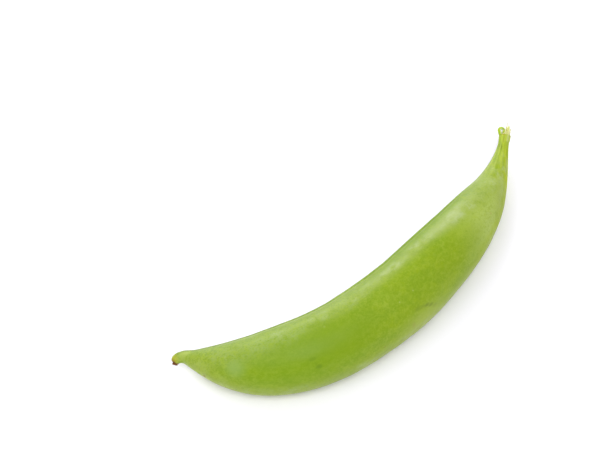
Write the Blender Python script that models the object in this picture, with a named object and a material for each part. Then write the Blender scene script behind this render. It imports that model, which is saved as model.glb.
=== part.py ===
"""A sugar snap pea pod, as picked, lying on its flank.

The pod is one closed body: a plump curved pericarp with a seam along its
inner edge and another along its outer edge, a small hooked beak at the
blossom end and a long slim neck at the stem end. Three small remnants sit
on its ends: a curl of the calyx, the torn fibres of the stalk and the dried
style.

Lengths are in metres, angles in degrees. +X runs from the beak to the neck,
+Y points to the hollow (inner) side of the curve and +Z is up. The origin is
at the middle of the underside of the bounding box.
"""

import math

import bmesh
import bpy
from mathutils import Vector

# ---------------------------------------------------------------- dimensions
ARC_LENGTH = 0.0926  # beak tip to neck end, along the middle of the pod
HALF_WIDTH = 0.00675  # half the width from seam to seam, where it is fullest
PLUMPNESS = 0.87  # thickness through the flanks over that width

NECK_RADIUS = 0.00089
NECK_FLARE = 0.00013  # how far the rim of the neck stands out
NECK_FLARE_LENGTH = 0.0013
NECK_TAPER, NECK_TAPER_POWER = 0.217, 1.695  # shoulder, as a share of the length
BEAK_RADIUS = 0.00063
BEAK_TAPER, BEAK_TAPER_POWER = 0.133, 1.49
BEAK_CLOSING = 0.012  # share of the length over which the beak rounds off

EVEN_BEND = 82.0  # the curve that the whole length shares
BELLY_TURN, BELLY_AT, BELLY_SPREAD = 42.7, 0.167, 0.068
HOOK_TURN, HOOK_AT, HOOK_SPREAD = -60.6, 0.021, 0.005
SHOULDER_TURN, SHOULDER_AT, SHOULDER_SPREAD = -9.9, 0.591, 0.077

ROLL = -38.0  # the pod is rolled this far, with its outer seam towards the surface
LEVEL_AT, LEVEL_SPREAD = 0.868, 0.035  # the neck twists back to level here

BEAK_LIFT, BEAK_LIFT_FROM = 0.0028, 0.22  # both ends bend up off the surface
NECK_LIFT, NECK_LIFT_FROM = 0.0036, 0.70
CONTACT_DEPTH = 0.00015  # the underside is flattened this much where it lies

INNER_SEAM = 0.00022  # how far each seam stands proud
OUTER_SEAM = 0.00014
SEAM_SPREAD = 9.0

GAP = 0.0003  # clearance between the pod and each remnant

RINGS = 72
RING_CROWDING = 0.8  # how much closer the rings are at both ends
SEGMENTS = 36
BEAK_RINGS = 4

CENTRELINE_STEPS = 2000

# ------------------------------------------------------------------- colours
POD_GREEN = (0.30, 0.46, 0.055)
CALYX_GREEN = (0.20, 0.40, 0.040)
FIBRE_CREAM = (0.78, 0.76, 0.42)
STYLE_BROWN = (0.16, 0.055, 0.020)


def step(x):
    """Smooth step from 0 to 1, centred on 0."""
    return 1.0 / (1.0 + math.exp(-max(-60.0, min(60.0, x))))


def heading(u):
    """Direction of the pod's middle line at a share u of its length."""
    return math.radians(
        EVEN_BEND * u
        + BELLY_TURN * (step((u - BELLY_AT) / BELLY_SPREAD) - 1.0)
        + HOOK_TURN * (step((u - HOOK_AT) / HOOK_SPREAD) - 1.0)
        + SHOULDER_TURN * step((u - SHOULDER_AT) / SHOULDER_SPREAD)
    )


def fullness(u):
    """0 at both ends, 1 along the body."""
    beak_side = 1.0 - math.exp(-((max(u, 0.0) / BEAK_TAPER) ** BEAK_TAPER_POWER))
    neck_side = 1.0 - math.exp(-((max(1.0 - u, 0.0) / NECK_TAPER) ** NECK_TAPER_POWER))
    return beak_side * neck_side


def half_width(u):
    """Half the width from seam to seam."""
    slim = BEAK_RADIUS + (NECK_RADIUS - BEAK_RADIUS) * u
    width = slim + (HALF_WIDTH - slim) * fullness(u)
    closing = min(u / BEAK_CLOSING, 1.0)
    width *= math.sqrt(max(0.0, 1.0 - (1.0 - closing) ** 2))
    from_rim = (1.0 - u) * ARC_LENGTH / NECK_FLARE_LENGTH
    return width + NECK_FLARE * math.exp(-from_rim * from_rim)


def half_thickness(u):
    """Half the thickness through the two flanks."""
    return half_width(u) * (1.0 - (1.0 - PLUMPNESS) * fullness(u))


def lean(u):
    """How far the seams lean out of the flat."""
    return math.radians(ROLL) * (1.0 - step((u - LEVEL_AT) / LEVEL_SPREAD))


def centre_height(u):
    """Height of the middle line over the surface that the pod lies on."""
    w, t, r = half_width(u), half_thickness(u), lean(u)
    down = math.hypot(w * math.sin(r), t * math.cos(r))
    beak = max(0.0, (BEAK_LIFT_FROM - u) / BEAK_LIFT_FROM)
    neck = max(0.0, (u - NECK_LIFT_FROM) / (1.0 - NECK_LIFT_FROM))
    return down + BEAK_LIFT * beak * beak + NECK_LIFT * neck * neck


def middle_line():
    """Plan positions along the middle line, turned so that its ends lie along X."""
    points = [(0.0, 0.0)]
    du = 1.0 / CENTRELINE_STEPS
    for i in range(CENTRELINE_STEPS):
        turn = heading((i + 0.5) * du)
        x, y = points[-1]
        points.append(
            (
                x + ARC_LENGTH * du * math.cos(turn),
                y + ARC_LENGTH * du * math.sin(turn),
            )
        )
    chord = math.atan2(points[-1][1], points[-1][0])
    c, s = math.cos(-chord), math.sin(-chord)
    return [(x * c - y * s, x * s + y * c) for x, y in points], chord


LINE, CHORD = middle_line()


def frame_at(u):
    """Centre, direction along the pod, and the unit vectors to its outer seam and its upper flank."""
    k = min(max(u, 0.0), 1.0) * CENTRELINE_STEPS
    i = min(int(k), CENTRELINE_STEPS - 1)
    f = k - i
    x = LINE[i][0] * (1 - f) + LINE[i + 1][0] * f
    y = LINE[i][1] * (1 - f) + LINE[i + 1][1] * f
    turn = heading(u) - CHORD
    rise = (centre_height(min(u + 0.002, 1.0)) - centre_height(max(u - 0.002, 0.0))) / (
        ARC_LENGTH * (min(u + 0.002, 1.0) - max(u - 0.002, 0.0))
    )
    if u < 2 * BEAK_CLOSING:  # the beak's own rounding isn't a slope of its middle
        rise = -2.0 * BEAK_LIFT / (BEAK_LIFT_FROM * ARC_LENGTH)
    along = Vector((math.cos(turn), math.sin(turn), rise)).normalized()
    flat_out = Vector((math.sin(turn), -math.cos(turn), 0.0))
    up = flat_out.cross(along).normalized()
    if up.z < 0:
        up = -up
    out = flat_out * math.cos(lean(u)) + up * math.sin(lean(u))
    top = up * math.cos(lean(u)) - flat_out * math.sin(lean(u))
    height = centre_height(max(u, BEAK_CLOSING)) if u < BEAK_CLOSING else centre_height(u)
    return Vector((x, y, height)), along, out, top


def section_point(u, degrees, swell=0.0):
    """A point of the skin: 0 degrees is the outer seam, 90 the upper flank, 180 the inner seam."""
    centre, _, out, top = frame_at(u)
    a = math.radians(degrees)
    w, t = half_width(u), half_thickness(u)
    share = fullness(u)

    def ridge(at):
        off = (degrees - at + 180.0) % 360.0 - 180.0
        return math.exp(-((off / SEAM_SPREAD) ** 2))

    stand = (INNER_SEAM * ridge(180.0) + OUTER_SEAM * ridge(0.0)) * share + swell
    return (
        centre
        + out * (math.cos(a) * (w + stand))
        + top * (math.sin(a) * (t + stand))
    )


def new_object(name, bm, colour, roughness):
    """Turn a bmesh into a named object with its own material."""
    bmesh.ops.recalc_face_normals(bm, faces=bm.faces[:])
    mesh = bpy.data.meshes.new(name)
    bm.to_mesh(mesh)
    bm.free()
    mesh.shade_smooth()
    material = bpy.data.materials.new(name + "_surface")
    material.use_nodes = True
    shader = material.node_tree.nodes["Principled BSDF"]
    shader.inputs["Base Color"].default_value = (*colour, 1.0)
    shader.inputs["Roughness"].default_value = roughness
    shader.inputs["Metallic"].default_value = 0.0
    mesh.materials.append(material)
    obj = bpy.data.objects.new(name, mesh)
    bpy.context.scene.collection.objects.link(obj)
    return obj


def loft(bm, rings):
    """Skin a row of closed rings and return their vertices."""
    loops = []
    for ring in rings:
        verts = [bm.verts.new(p) for p in ring]
        edges = [bm.edges.new((verts[i], verts[(i + 1) % len(verts)])) for i in range(len(verts))]
        loops.append((verts, edges))
    for (_, edges_a), (_, edges_b) in zip(loops, loops[1:]):
        bmesh.ops.bridge_loops(bm, edges=edges_a + edges_b)
    return [verts for verts, _ in loops]


def fan(bm, verts, tip):
    """Close the end of a skin with a fan of faces round one point."""
    point = bm.verts.new(tip)
    n = len(verts)
    for i in range(n):
        bm.faces.new((verts[i], verts[(i + 1) % n], point))
    return point


# ------------------------------------------------------------------- the pod
def build_pod():
    stations = [
        BEAK_CLOSING * (1.0 - math.cos(math.radians(90.0 * k / BEAK_RINGS)))
        for k in range(1, BEAK_RINGS + 1)
    ]
    for k in range(1, RINGS + 1):
        share = k / RINGS
        share -= RING_CROWDING * math.sin(2.0 * math.pi * share) / (2.0 * math.pi)
        stations.append(BEAK_CLOSING + (1.0 - BEAK_CLOSING) * share)
    rings = [
        [section_point(u, 360.0 * j / SEGMENTS) for j in range(SEGMENTS)]
        for u in stations
    ]
    bm = bmesh.new()
    verts = loft(bm, rings)
    centre, along, _, _ = frame_at(0.0)
    fan(bm, verts[0], centre)
    rim = bm.faces.new(verts[-1])
    # The end of the neck is a shallow scar inside a rim.
    bmesh.ops.recalc_face_normals(bm, faces=bm.faces[:])
    bmesh.ops.inset_region(bm, faces=[rim], thickness=0.00022, depth=0.0)
    _, neck_along, _, _ = frame_at(1.0)
    bmesh.ops.translate(bm, verts=rim.verts[:], vec=-neck_along * 0.00025)
    # It lies on a narrow flattened strip of its lower flank.
    low = min(v.co.z for v in bm.verts)
    floor = low + CONTACT_DEPTH
    for v in bm.verts:
        if v.co.z < floor:
            v.co.z = floor
    return bm


# ------------------------------------------------------- the curl of calyx
CURL_WIDTH = 0.0011
CURL_THICKNESS = 0.00026
CURL_LENGTH = 0.0019
CURL_STRAIGHT = 0.30  # share of its length before it starts to roll
CURL_TURN = 200.0  # how far it rolls over
CURL_STEPS = 10


def build_calyx_remnant():
    """A narrow strip left of the calyx. It stands on the rim and rolls over."""
    centre, along, out, top = frame_at(1.0)
    base = centre + along * GAP - out * 0.00082 + top * 0.00020
    side = top * 0.90 + out * 0.44
    side.normalize()
    bend = side.cross(along).normalized()
    if bend.dot(out) < 0:
        bend = -bend
    rings = []
    position = base.copy()
    for k in range(CURL_STEPS + 1):
        share = k / CURL_STEPS
        rolled = max(0.0, share - CURL_STRAIGHT) / (1.0 - CURL_STRAIGHT)
        turn = math.radians(CURL_TURN * rolled - 8.0)
        forward = along * math.cos(turn) + bend * math.sin(turn)
        normal = bend * math.cos(turn) - along * math.sin(turn)
        half_w = 0.5 * CURL_WIDTH * (1.0 - 0.55 * share)
        half_t = 0.5 * CURL_THICKNESS * (1.0 - 0.40 * share)
        rings.append(
            [
                position + side * half_w * a + normal * half_t * b
                for a, b in ((1, 0), (0.6, 1), (-0.6, 1), (-1, 0), (-0.6, -1), (0.6, -1))
            ]
        )
        position = position + forward * (CURL_LENGTH / CURL_STEPS)
    lowest = min((p - centre).dot(along) for p in rings[0])
    shift = along * (GAP - lowest)
    rings = [[p + shift for p in ring] for ring in rings]
    bm = bmesh.new()
    verts = loft(bm, rings)
    bm.faces.new(verts[0])
    bm.faces.new(verts[-1])
    return bm


# ------------------------------------------------------ the stalk's fibres
FIBRE_BASE = 0.00026  # half the width of the tuft at its foot
FIBRE_FOOT = 0.00030
FIBRES = ((-1, 0.0022, -0.02), (0, 0.0014, 0.05), (1, 0.0018, 0.15))


def build_stem_fibres():
    """Torn fibres of the stalk: a foot with three tapered strands drawn out of it."""
    centre, along, out, top = frame_at(1.0)
    base = centre + along * GAP + out * 0.00058
    bm = bmesh.new()
    columns = 3
    grid = {}
    for level in (0, 1):
        for i in range(columns + 1):
            for j in (0, 1):
                grid[level, i, j] = bm.verts.new(
                    base
                    + out * (FIBRE_BASE * (2.0 * i / columns - 1.0))
                    + top * (FIBRE_BASE * 0.8 * (2 * j - 1))
                    + along * (FIBRE_FOOT * level)
                )
    tops = []
    for i in range(columns):
        bm.faces.new((grid[0, i, 0], grid[0, i + 1, 0], grid[0, i + 1, 1], grid[0, i, 1]))
        tops.append(
            bm.faces.new((grid[1, i, 0], grid[1, i + 1, 0], grid[1, i + 1, 1], grid[1, i, 1]))
        )
        for j in (0, 1):
            bm.faces.new((grid[0, i, j], grid[0, i + 1, j], grid[1, i + 1, j], grid[1, i, j]))
    for i in (0, columns):
        bm.faces.new((grid[0, i, 0], grid[0, i, 1], grid[1, i, 1], grid[1, i, 0]))
    bmesh.ops.recalc_face_normals(bm, faces=bm.faces[:])
    for face, (place, length, splay) in zip(tops, FIBRES):
        strand = face
        for part in (0.5, 0.5):
            grown = bmesh.ops.extrude_discrete_faces(bm, faces=[strand])
            strand = grown["faces"][0]
            middle = strand.calc_center_median()
            for v in strand.verts:
                v.co = middle + (v.co - middle) * 0.62
                v.co += along * (length * part) + out * (splay * length * part)
                v.co += top * (0.12 * place * length * part)
    return bm


# ---------------------------------------------------------- the dried style
STYLE_RADIUS = 0.00023
STYLE_LENGTH = 0.00085
STYLE_STEPS = 7
STYLE_OUT, STYLE_AHEAD = 0.00079, 0.0002  # its foot, from the very tip of the beak
STYLE_FROM, STYLE_TO = 55.0, 90.0  # it bends back along the beak


def build_style_remnant():
    """The dried style: a short brown thread on the outer side of the beak's end."""
    centre, along, out, top = frame_at(0.0)
    position = centre + out * STYLE_OUT - along * STYLE_AHEAD
    rings = []
    for k in range(STYLE_STEPS + 1):
        share = k / STYLE_STEPS
        turn = math.radians(STYLE_FROM + (STYLE_TO - STYLE_FROM) * share)
        direction = out * math.cos(turn) + along * math.sin(turn)
        normal = along * math.cos(turn) - out * math.sin(turn)
        radius = STYLE_RADIUS * (1.0 - 0.45 * share) * (1.0 + 0.25 * math.sin(9.0 * share))
        rings.append(
            [
                position
                + normal * (radius * math.cos(math.radians(45.0 * j)))
                + top * (radius * math.sin(math.radians(45.0 * j)))
                for j in range(8)
            ]
        )
        position = position + direction * (STYLE_LENGTH / STYLE_STEPS)
    bm = bmesh.new()
    verts = loft(bm, rings)
    bm.faces.new(verts[0])
    bm.faces.new(verts[-1])
    return bm


def main():
    for old in list(bpy.data.objects):
        bpy.data.objects.remove(old, do_unlink=True)

    parts = [
        new_object("pod", build_pod(), POD_GREEN, 0.42),
        new_object("calyx_remnant", build_calyx_remnant(), CALYX_GREEN, 0.50),
        new_object("stem_fibres", build_stem_fibres(), FIBRE_CREAM, 0.65),
        new_object("style_remnant", build_style_remnant(), STYLE_BROWN, 0.75),
    ]

    # The origin is the middle of the underside of the whole thing.
    corners = [v.co for obj in parts for v in obj.data.vertices]
    low = Vector([min(c[i] for c in corners) for i in range(3)])
    high = Vector([max(c[i] for c in corners) for i in range(3)])
    shift = Vector((-(low.x + high.x) / 2, -(low.y + high.y) / 2, -low.z))
    for obj in parts:
        obj.location = shift


main()
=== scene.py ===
"""Looks for the sugar snap pea pod: its skin, seams, neck and small remnants, with a floor, lights and a camera."""

import math

import bmesh
import bpy
import numpy as np
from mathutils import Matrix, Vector


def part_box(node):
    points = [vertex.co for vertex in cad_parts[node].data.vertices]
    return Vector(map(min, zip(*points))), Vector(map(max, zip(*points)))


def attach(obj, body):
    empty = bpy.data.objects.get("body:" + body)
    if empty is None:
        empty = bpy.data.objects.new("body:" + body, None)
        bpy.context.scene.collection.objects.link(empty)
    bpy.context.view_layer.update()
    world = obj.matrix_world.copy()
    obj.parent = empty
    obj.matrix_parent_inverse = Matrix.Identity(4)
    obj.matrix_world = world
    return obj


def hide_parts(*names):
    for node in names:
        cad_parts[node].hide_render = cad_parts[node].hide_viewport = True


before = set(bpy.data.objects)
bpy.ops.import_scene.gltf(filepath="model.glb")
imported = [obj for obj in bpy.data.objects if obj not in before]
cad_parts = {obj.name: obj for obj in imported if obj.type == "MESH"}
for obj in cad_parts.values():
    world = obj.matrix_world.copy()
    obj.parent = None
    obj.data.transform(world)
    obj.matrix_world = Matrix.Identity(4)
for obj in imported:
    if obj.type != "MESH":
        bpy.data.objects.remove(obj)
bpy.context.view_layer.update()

MM = 0.001

# ------------------------------------------------------------------ the pod's own measures, as in the CAD
ARC_LENGTH = 0.0926
HALF_WIDTH = 0.00675
PLUMPNESS = 0.87
NECK_RADIUS = 0.00089
NECK_FLARE = 0.00013
NECK_FLARE_LENGTH = 0.0013
NECK_TAPER, NECK_TAPER_POWER = 0.217, 1.695
BEAK_RADIUS = 0.00063
BEAK_TAPER, BEAK_TAPER_POWER = 0.133, 1.49
BEAK_CLOSING = 0.012
EVEN_BEND = 82.0
BELLY_TURN, BELLY_AT, BELLY_SPREAD = 42.7, 0.167, 0.068
HOOK_TURN, HOOK_AT, HOOK_SPREAD = -60.6, 0.021, 0.005
SHOULDER_TURN, SHOULDER_AT, SHOULDER_SPREAD = -9.9, 0.591, 0.077
ROLL = -38.0
LEVEL_AT, LEVEL_SPREAD = 0.868, 0.035
BEAK_LIFT, BEAK_LIFT_FROM = 0.0028, 0.22
NECK_LIFT, NECK_LIFT_FROM = 0.0036, 0.70
CONTACT_DEPTH = 0.00015
INNER_SEAM = 0.00022
OUTER_SEAM = 0.00014
SEAM_SPREAD = 9.0
RINGS, RING_CROWDING, SEGMENTS, BEAK_RINGS = 72, 0.8, 36, 4
CENTRELINE_STEPS = 2000


def step(x):
    return 1.0 / (1.0 + np.exp(-np.clip(x, -60.0, 60.0)))


def smooth(x, a, b):
    """0 below a, 1 above b, with no corner between."""
    t = np.clip((np.asarray(x, float) - a) / (b - a), 0.0, 1.0)
    return t * t * (3.0 - 2.0 * t)


def hump(x, at, spread):
    return np.exp(-(((np.asarray(x, float) - at) / spread) ** 2))


def heading(u):
    return np.radians(
        EVEN_BEND * u
        + BELLY_TURN * (step((u - BELLY_AT) / BELLY_SPREAD) - 1.0)
        + HOOK_TURN * (step((u - HOOK_AT) / HOOK_SPREAD) - 1.0)
        + SHOULDER_TURN * step((u - SHOULDER_AT) / SHOULDER_SPREAD)
    )


def fullness(u):
    beak_side = 1.0 - np.exp(-((np.maximum(u, 0.0) / BEAK_TAPER) ** BEAK_TAPER_POWER))
    neck_side = 1.0 - np.exp(-((np.maximum(1.0 - u, 0.0) / NECK_TAPER) ** NECK_TAPER_POWER))
    return beak_side * neck_side


def half_width(u):
    slim = BEAK_RADIUS + (NECK_RADIUS - BEAK_RADIUS) * u
    width = slim + (HALF_WIDTH - slim) * fullness(u)
    closing = np.minimum(u / BEAK_CLOSING, 1.0)
    width = width * np.sqrt(np.maximum(0.0, 1.0 - (1.0 - closing) ** 2))
    width = width * (1.0 - 0.035 * np.exp(-(((u - 0.865) / 0.045) ** 2)))
    from_rim = (1.0 - u) * ARC_LENGTH / NECK_FLARE_LENGTH
    return width + NECK_FLARE * np.exp(-from_rim * from_rim)


def half_thickness(u):
    return half_width(u) * (1.0 - (1.0 - PLUMPNESS) * fullness(u))


def lean(u):
    return np.radians(ROLL) * (1.0 - step((u - LEVEL_AT) / LEVEL_SPREAD))


def centre_height(u):
    w, t, r = half_width(u), half_thickness(u), lean(u)
    down = np.hypot(w * np.sin(r), t * np.cos(r))
    beak = np.maximum(0.0, (BEAK_LIFT_FROM - u) / BEAK_LIFT_FROM)
    neck = np.maximum(0.0, (u - NECK_LIFT_FROM) / (1.0 - NECK_LIFT_FROM))
    return down + BEAK_LIFT * beak * beak + NECK_LIFT * neck * neck


def middle_line():
    du = 1.0 / CENTRELINE_STEPS
    turn = heading((np.arange(CENTRELINE_STEPS) + 0.5) * du)
    x = np.concatenate([[0.0], np.cumsum(np.cos(turn))]) * ARC_LENGTH * du
    y = np.concatenate([[0.0], np.cumsum(np.sin(turn))]) * ARC_LENGTH * du
    chord = math.atan2(y[-1], x[-1])
    c, s = math.cos(-chord), math.sin(-chord)
    return np.stack([x * c - y * s, x * s + y * c], 1), chord


LINE, CHORD = middle_line()


def frames(u):
    """Centre, direction along the pod, and unit vectors to the outer seam and the upper flank, one row for each u."""
    u = np.atleast_1d(np.asarray(u, float))
    at = np.clip(u, 0.0, 1.0) * CENTRELINE_STEPS
    grid = np.arange(CENTRELINE_STEPS + 1)
    x, y = np.interp(at, grid, LINE[:, 0]), np.interp(at, grid, LINE[:, 1])
    turn = heading(u) - CHORD
    a, b = np.minimum(np.maximum(u, BEAK_CLOSING) + 0.002, 1.0), np.maximum(u, BEAK_CLOSING) - 0.002
    rise = (centre_height(a) - centre_height(b)) / (ARC_LENGTH * (a - b))
    at_beak = 1.0 - smooth(u, BEAK_CLOSING, 5 * BEAK_CLOSING)
    rise = rise + at_beak * (-2.0 * BEAK_LIFT / (BEAK_LIFT_FROM * ARC_LENGTH) - rise)
    along = np.stack([np.cos(turn), np.sin(turn), rise], 1)
    along /= np.linalg.norm(along, axis=1)[:, None]
    flat_out = np.stack([np.sin(turn), -np.cos(turn), 0 * turn], 1)
    up = np.cross(flat_out, along)
    up /= np.linalg.norm(up, axis=1)[:, None]
    up *= np.where(up[:, 2] < 0, -1.0, 1.0)[:, None]
    r = lean(u)[:, None]
    out = flat_out * np.cos(r) + up * np.sin(r)
    top = up * np.cos(r) - flat_out * np.sin(r)
    height = centre_height(np.maximum(u, BEAK_CLOSING))
    return np.stack([x, y, height], 1), along, out, top


def skin(u, degrees, stand):
    """Points of the skin for each u (rows) and each angle (columns), standing out from the smooth body by stand."""
    centre, _, out, top = frames(u)
    a = np.radians(degrees)[None, :]
    w, t = half_width(u)[:, None], half_thickness(u)[:, None]
    return (
        centre[:, None, :]
        + out[:, None, :] * (np.cos(a) * (w + stand))[..., None]
        + top[:, None, :] * (np.sin(a) * (t + stand))[..., None]
    )


def cad_shift():
    """How far the CAD moved the pod so that its origin is under the middle of its box."""
    k = np.arange(1, BEAK_RINGS + 1)
    stations = BEAK_CLOSING * (1.0 - np.cos(np.radians(90.0 * k / BEAK_RINGS)))
    share = np.arange(1, RINGS + 1) / RINGS
    share = share - RING_CROWDING * np.sin(2.0 * np.pi * share) / (2.0 * np.pi)
    stations = np.concatenate([stations, BEAK_CLOSING + (1.0 - BEAK_CLOSING) * share])
    degrees = 360.0 * np.arange(SEGMENTS) / SEGMENTS

    def ridge(at):
        off = (degrees - at + 180.0) % 360.0 - 180.0
        return np.exp(-((off / SEAM_SPREAD) ** 2))[None, :]

    stand = (INNER_SEAM * ridge(180.0) + OUTER_SEAM * ridge(0.0)) * fullness(stations)[:, None]
    points = skin(stations, degrees, stand).reshape(-1, 3)
    low = points.min(0)
    low[2] += CONTACT_DEPTH
    return np.array(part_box("pod")[0]) - low, low[2]


SHIFT, FLOOR = cad_shift()

# ------------------------------------------------------------------ small helpers
RNG = np.random.default_rng(7)


def waves(count, shortest, longest, seed):
    """A smooth, fixed, random-looking function of position on the skin, with values around -1 to 1."""
    rng = np.random.default_rng(seed)
    length = rng.uniform(shortest, longest, count)
    turn = rng.uniform(0, 2 * np.pi, count)
    phase = rng.uniform(0, 2 * np.pi, count)
    kx, ky = 2 * np.pi / length * np.cos(turn), 2 * np.pi / length * np.sin(turn)

    def value(x, y):
        total = 0.0
        for a, b, p in zip(kx, ky, phase):
            total = total + np.sin(a * x + b * y + p)
        return total / math.sqrt(count / 2)

    return value


def srgb(r, g, b):
    """Linear colour from 0-255 display numbers."""
    v = np.array([r, g, b], float) / 255.0
    lin = np.where(v <= 0.04045, v / 12.92, ((v + 0.055) / 1.055) ** 2.4)
    return (*[float(x) for x in lin], 1.0)


def make_mesh(name, verts, faces, uvs=None):
    mesh = bpy.data.meshes.new(name)
    mesh.from_pydata([tuple(v) for v in verts], [], [tuple(f) for f in faces])
    mesh.validate()
    if uvs is not None:
        layer = mesh.uv_layers.new(name="OFBake")
        layer.uv.foreach_set("vector", np.asarray(uvs, np.float32).ravel())
    mesh.shade_smooth()
    obj = bpy.data.objects.new(name, mesh)
    bpy.context.scene.collection.objects.link(obj)
    return obj


def face_out(mesh):
    """Turn the faces of a closed mesh outwards."""
    mesh.calc_loop_triangles()
    v = np.empty(len(mesh.vertices) * 3, np.float32)
    mesh.vertices.foreach_get("co", v)
    tri = np.empty(len(mesh.loop_triangles) * 3, np.int32)
    mesh.loop_triangles.foreach_get("vertices", tri)
    a, b, c = (v.reshape(-1, 3)[tri.reshape(-1, 3)[:, k]].astype(float) for k in range(3))
    if np.einsum("ij,ij->i", a, np.cross(b, c)).sum() < 0:
        mesh.flip_normals()


def set_point_attribute(mesh, name, kind, values):
    layer = mesh.attributes.new(name, kind, "POINT")
    layer.data.foreach_set("vector" if kind == "FLOAT_VECTOR" else "value", np.asarray(values, np.float32).ravel())


# ------------------------------------------------------------------ the pod's skin
COLUMNS = 180
ALONG_RINGS = 500

PEAS = [  # where each pea swells the flanks: millimetres along, and how much
    (16.5, 0.70), (24.8, 0.95), (33.2, 1.05), (41.9, 1.00), (50.3, 1.05), (58.6, 0.90), (66.4, 0.75), (73.2, 0.45),
]

DENTS = [  # millimetres along, angle, length, width and depth
    (11.8, 88, 3.2, 2.2, 0.05), (63.0, 118, 4.5, 2.4, 0.05),
]

NECK_RIBS = [  # where each rib of the neck is round it, its half width in degrees and its height in millimetres
    (0, 20, 0.070), (30, 11, 0.028), (58, 12, 0.036), (87, 12, 0.030), (117, 12, 0.036), (148, 13, 0.050),
    (206, 13, 0.050), (236, 12, 0.030), (265, 13, 0.036), (294, 12, 0.028), (325, 12, 0.030),
]


def ring_stations():
    """Shares of the length for the rings, closer together at both ends."""
    fine = np.linspace(0, 1, 4001)
    weight = 1.0 + 2.6 * np.exp(-((fine / 0.04) ** 2)) + 1.4 * np.exp(-(((1 - fine) / 0.06) ** 2))
    total = np.concatenate([[0], np.cumsum((weight[1:] + weight[:-1]) / 2)])
    total /= total[-1]
    return np.interp(np.linspace(0, 1, ALONG_RINGS + 1), total, fine)[1:]


def turned(degrees, at):
    """How far round the section degrees is from at, between -180 and 180."""
    return (degrees - at + 180.0) % 360.0 - 180.0


def column_angles():
    """Angles round the section, from the lower flank on, closer together at the two seams."""
    fine = np.linspace(-90, 270, 3601)
    weight = (
        1.0
        + 3.0 * np.exp(-((turned(fine, 180.0) / 7.0) ** 2))
        + 1.0 * np.exp(-((turned(fine, 180.0) / 22.0) ** 2))
        + 2.4 * np.exp(-((turned(fine, 0.0) / 8.0) ** 2))
    )
    total = np.concatenate([[0], np.cumsum((weight[1:] + weight[:-1]) / 2)])
    total /= total[-1]
    return np.interp(np.arange(COLUMNS) / COLUMNS, total, fine)


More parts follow.
